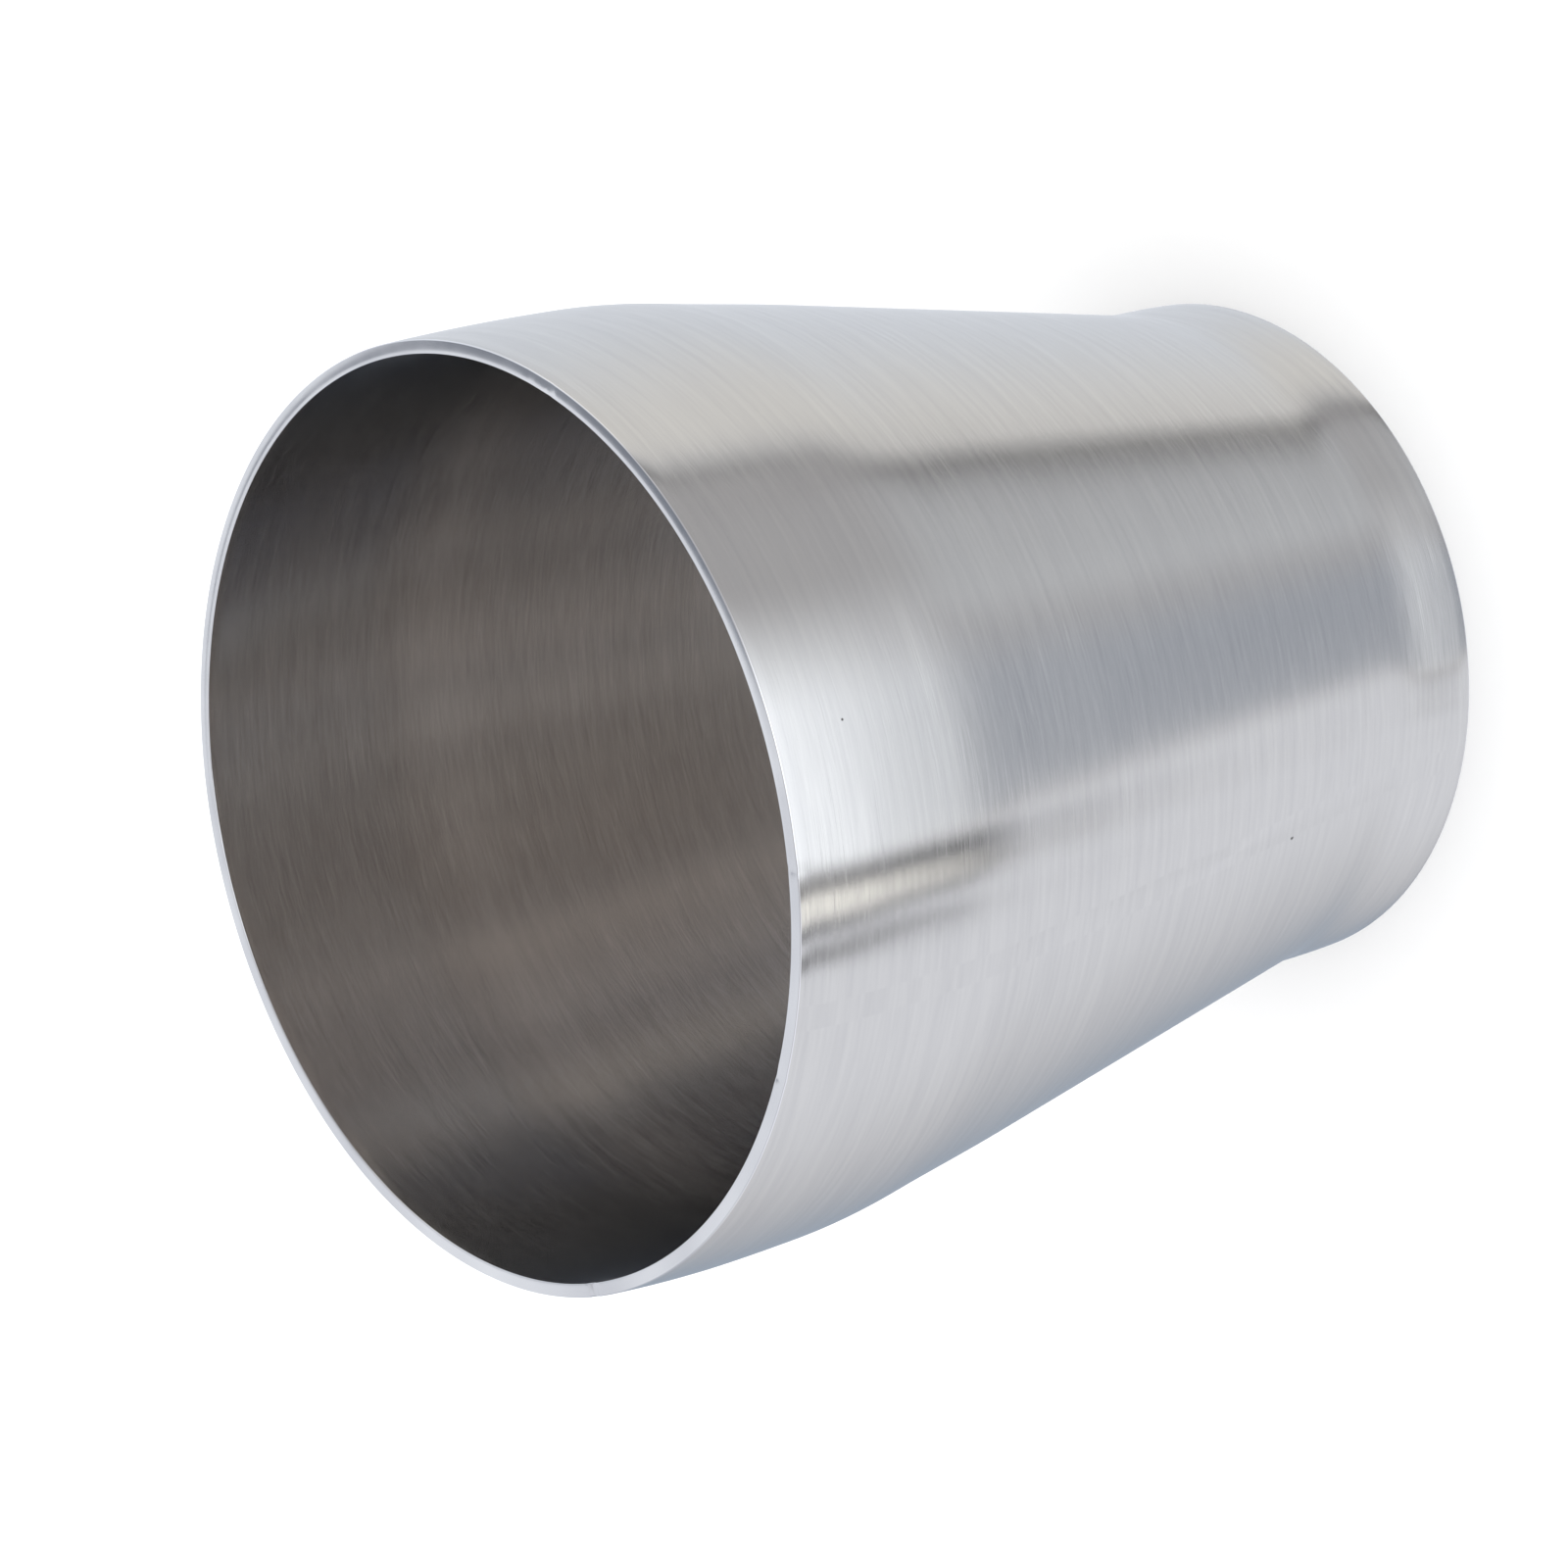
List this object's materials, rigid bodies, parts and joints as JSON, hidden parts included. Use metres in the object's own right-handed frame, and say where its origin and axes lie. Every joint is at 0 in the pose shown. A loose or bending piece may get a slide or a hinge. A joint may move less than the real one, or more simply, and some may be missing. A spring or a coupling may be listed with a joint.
{
  "type": "concentric reducer",
  "caption": "Thin-wall stainless concentric reducer: a seam-welded sheet shell with a straight cuff at each end and a smooth cone between, joining a large tube to a smaller one on one axis.",
  "frame": {"origin": "centre of the small end's face, in the plane of that face", "axes": "+Z along the flow axis from the small end to the large end; +X through the middle of the longitudinal weld"},
  "size_m": [0.1016, 0.1016, 0.108],
  "materials": {
    "stainless_sheet": "satin, belt-brushed round the circumference outside, duller and darker inside",
    "weld_metal": "butt weld ground flush and brushed with the sheet"
  },
  "bodies": {
    "root": {"formed_shell": "stainless_sheet", "seam_weld": "weld_metal"}
  },
  "joints": []
}
